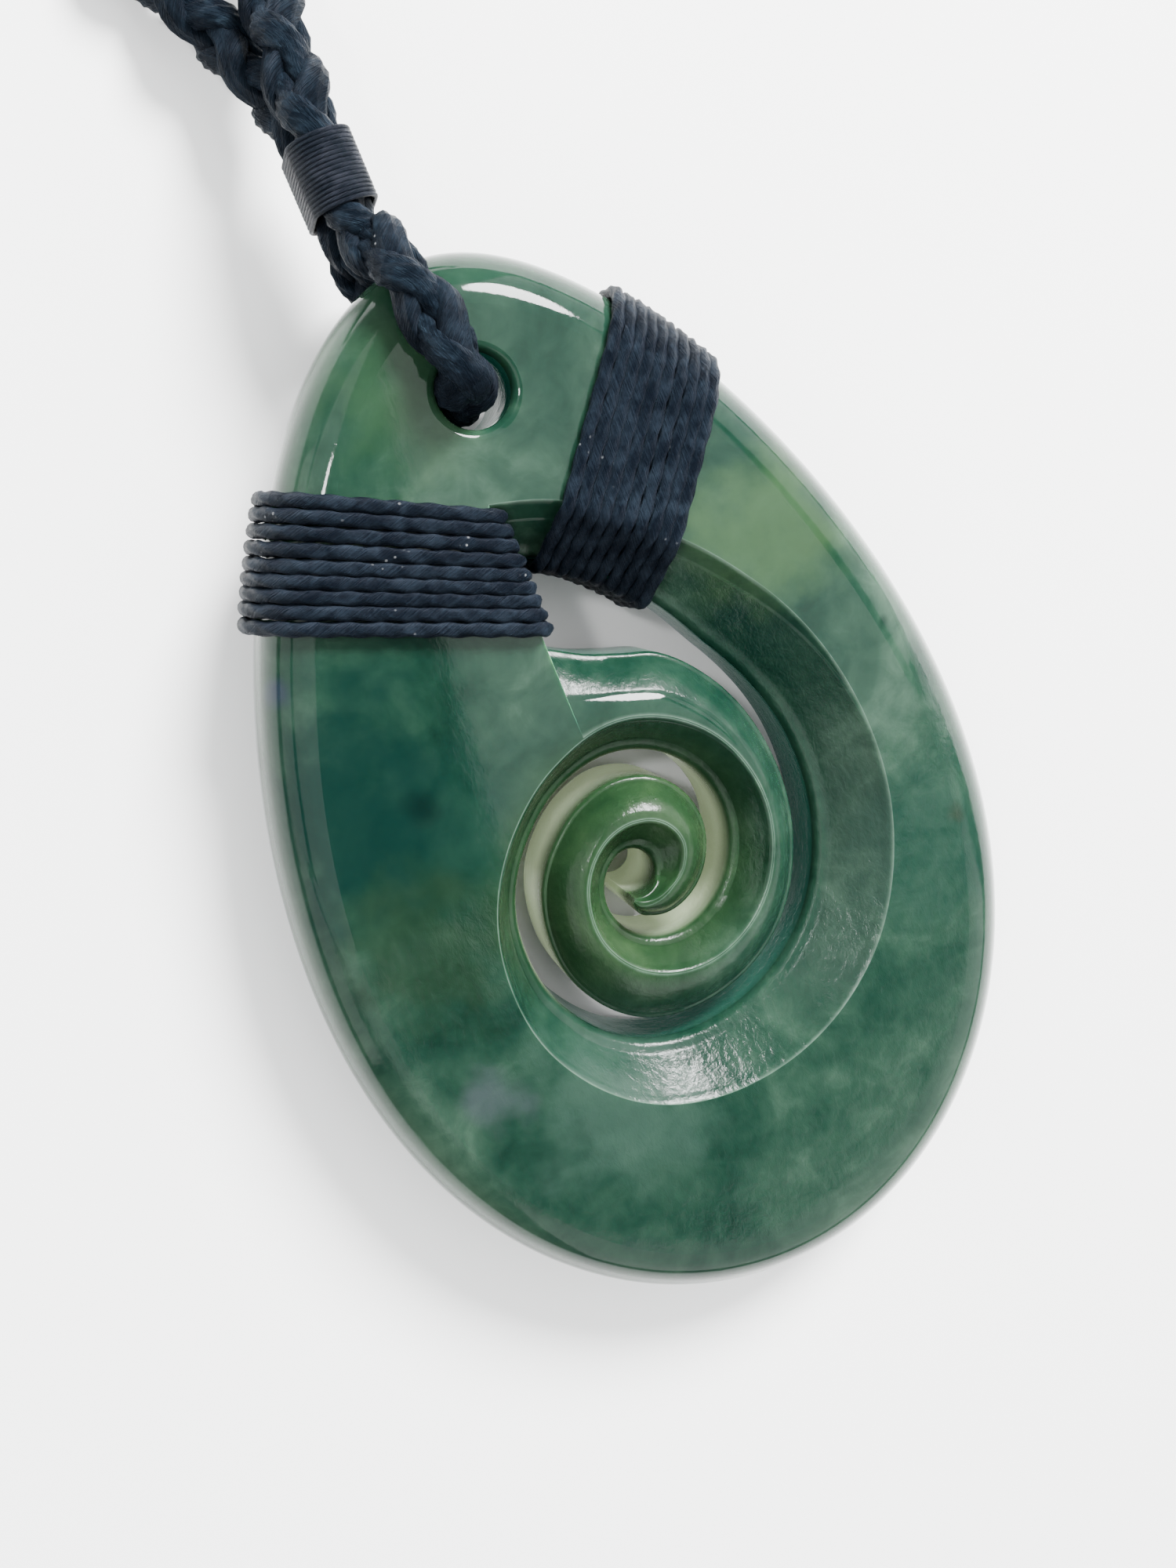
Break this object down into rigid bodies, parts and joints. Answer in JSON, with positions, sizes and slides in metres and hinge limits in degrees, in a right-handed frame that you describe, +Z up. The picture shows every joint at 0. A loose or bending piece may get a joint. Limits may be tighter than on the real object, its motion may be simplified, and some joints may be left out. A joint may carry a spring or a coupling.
{
  "type": "koru pendant",
  "caption": "Egg-shaped jade pendant with a carved koru spiral, lying on its back on a plaited black waxed neck cord, with wound cord bindings round its arms.",
  "frame": {"origin": "middle of the whole necklace's box, on the surface that it lies on", "axes": "+X across the stone, to the right of one who looks at its face with the tip up; +Y from the stone's round foot to its tip and on along the neck cord; +Z up, out of the stone's carved face"},
  "size_m": [0.152, 0.3428, 0.0156],
  "materials": {
    "jade": "polished nephrite, mottled mid green, slightly translucent in the thin coil",
    "braided_cord": "black waxed cord, plaited in four strands",
    "binding_cord": "black waxed twisted cord, satin",
    "whipping_thread": "fine black waxed thread, satin"
  },
  "bodies": {
    "root": {"koru_stone": "jade", "neck_braid": "braided_cord", "left_binding": "binding_cord", "right_binding": "binding_cord", "front_whipping": "whipping_thread", "nape_whipping": "whipping_thread"}
  },
  "joints": []
}
